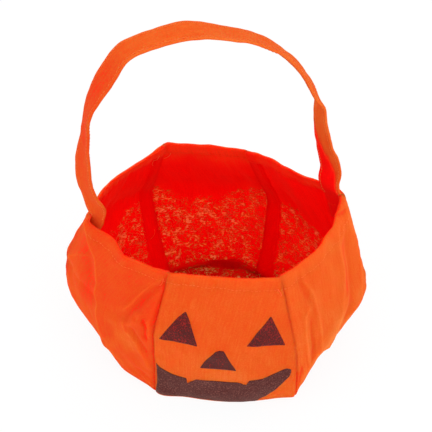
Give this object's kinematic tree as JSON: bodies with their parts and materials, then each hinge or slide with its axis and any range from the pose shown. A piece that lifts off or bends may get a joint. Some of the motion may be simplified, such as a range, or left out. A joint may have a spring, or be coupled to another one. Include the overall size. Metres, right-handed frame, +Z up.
{
  "type": "pumpkin candy basket",
  "caption": "Soft sewn cloth bag shaped like a pumpkin, with a folded waist, a turned-in rim, a printed jack-o'-lantern face and a strap handle for carrying sweets.",
  "frame": {"origin": "under the middle of the base panel, on the surface the bag stands on", "axes": "+Z up, the printed face looks along -Y, +X to the right of a person who looks at the face"},
  "size_m": [0.2667, 0.1948, 0.3136],
  "materials": {
    "wall_cloth": "brushed, matt",
    "base_cloth": "brushed, matt",
    "strap_cloth": "brushed, matt",
    "print_ink": "matt ink soaked into the nap"
  },
  "bodies": {
    "bag": {"front_panel": "wall_cloth", "front_right_panel": "wall_cloth", "back_right_panel": "wall_cloth", "back_panel": "wall_cloth", "back_left_panel": "wall_cloth", "front_left_panel": "wall_cloth", "base_panel": "base_cloth", "strap_tail_left": "strap_cloth", "strap_tail_right": "strap_cloth", "face_print_left_eye": "print_ink", "face_print_right_eye": "print_ink", "face_print_nose": "print_ink", "face_print_mouth": "print_ink"},
    "handle": {"handle_strap": "strap_cloth"}
  },
  "joints": [
    {"name": "handle_swing", "type": "hinge", "parent": "bag", "child": "handle", "pos_m": [0.00039, 0.01479, 0.1566], "axis": [0.9841, 0.1773, 0], "range_deg": [-75, 75]}
  ]
}
